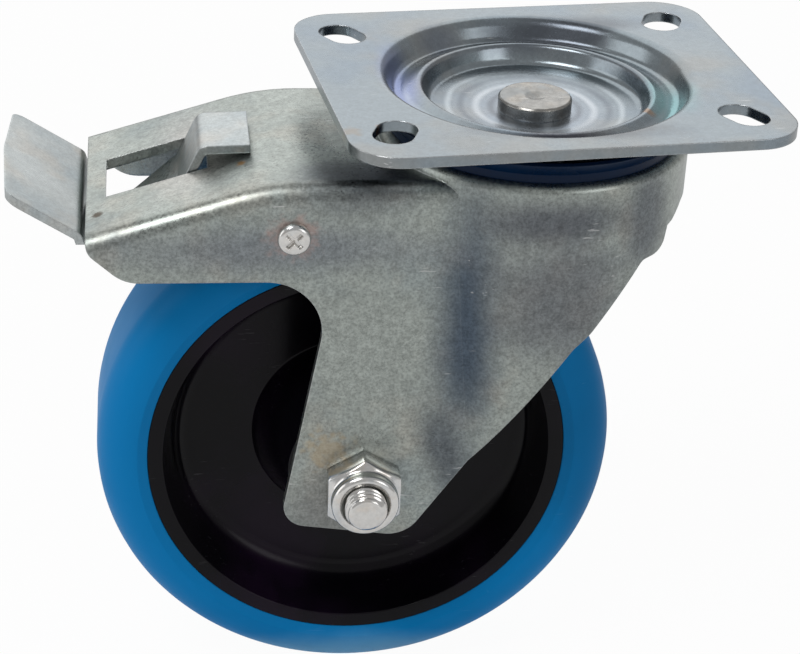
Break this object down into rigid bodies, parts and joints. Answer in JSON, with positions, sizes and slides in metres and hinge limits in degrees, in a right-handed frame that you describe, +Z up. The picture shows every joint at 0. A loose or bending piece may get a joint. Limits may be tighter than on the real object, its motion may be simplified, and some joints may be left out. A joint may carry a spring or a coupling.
{
  "type": "swivel castor",
  "caption": "Plate-mounted swivel castor with a pressed fork, a blue elastic tyre on a moulded rim and a foot pedal that brakes the wheel and locks the swivel.",
  "frame": {"origin": "centre of the top plate's upper face, on the swivel axis", "axes": "+Z up out of the mounting face along the swivel axis, +X along the plate's long side, towards which the fork's front points when it stands straight"},
  "size_m": [0.1737, 0.0861, 0.155],
  "materials": {
    "plate_zinc": "bright zinc plate with a faint lilac tint",
    "fork_zinc": "satin zinc plate",
    "brake_zinc": "satin zinc plate",
    "bolt_zinc": "bright zinc plate",
    "bearing_steel": "ground",
    "rim_black": "glossy moulded polyamide",
    "tyre_blue": "smooth elastic rubber",
    "seal_blue": "moulded",
    "guard_black": "moulded",
    "lock_nylon": "moulded nylon"
  },
  "bodies": {
    "plate": {"top_plate": "plate_zinc", "kingpin": "bolt_zinc", "kingpin_bush": "bearing_steel", "lower_race_cup": "bearing_steel"},
    "fork": {"fork": "fork_zinc", "dust_seal": "seal_blue", "axle_bolt": "bolt_zinc", "axle_nut": "bolt_zinc", "nut_lock_ring": "lock_nylon", "axle_tube": "bearing_steel", "thread_guards": "guard_black", "pivot_screw": "bolt_zinc", "pivot_nut": "bolt_zinc"},
    "upper_balls": {"upper_balls": "bearing_steel"},
    "lower_balls": {"lower_balls": "bearing_steel"},
    "wheel": {"wheel_rim": "rim_black", "tyre": "tyre_blue", "bearing_sleeve": "bearing_steel"},
    "rollers": {"bearing_rollers": "bearing_steel", "roller_cage": "guard_black"},
    "pedal": {"brake_pedal": "brake_zinc"},
    "brake_lever": {"brake_lever": "brake_zinc", "brake_shoe": "brake_zinc"}
  },
  "joints": [
    {"name": "swivel", "type": "hinge", "parent": "plate", "child": "fork", "pos_m": [0, 0, 0], "axis": [0, 0, 1], "continuous": true},
    {"name": "upper_balls_roll", "type": "hinge", "parent": "plate", "child": "upper_balls", "pos_m": [0, 0, 0], "axis": [0, 0, 1], "continuous": true},
    {"name": "lower_balls_roll", "type": "hinge", "parent": "plate", "child": "lower_balls", "pos_m": [0, 0, 0], "axis": [0, 0, 1], "continuous": true},
    {"name": "wheel_spin", "type": "hinge", "parent": "fork", "child": "wheel", "pos_m": [-0.03973, 0.0046, -0.0925], "axis": [0.1149, 0.9934, 0], "continuous": true},
    {"name": "rollers_roll", "type": "hinge", "parent": "fork", "child": "rollers", "pos_m": [-0.03973, 0.0046, -0.0925], "axis": [0.1149, 0.9934, 0], "continuous": true},
    {"name": "pedal_press", "type": "hinge", "parent": "fork", "child": "pedal", "pos_m": [-0.07977, 0.00923, -0.021], "axis": [-0.1149, -0.9934, 0], "range_deg": [0, 10]},
    {"name": "brake_lever_turn", "type": "hinge", "parent": "fork", "child": "brake_lever", "pos_m": [-0.05712, 0.00661, -0.0271], "axis": [-0.1149, -0.9934, 0], "range_deg": [0, 5]}
  ],
  "couplings": [
    {"joint": "upper_balls_roll", "follows": "swivel", "ratio": 0.5},
    {"joint": "lower_balls_roll", "follows": "swivel", "ratio": 0.5},
    {"joint": "rollers_roll", "follows": "wheel_spin", "ratio": 0.6275},
    {"joint": "brake_lever_turn", "follows": "pedal_press", "ratio": 0.5}
  ]
}
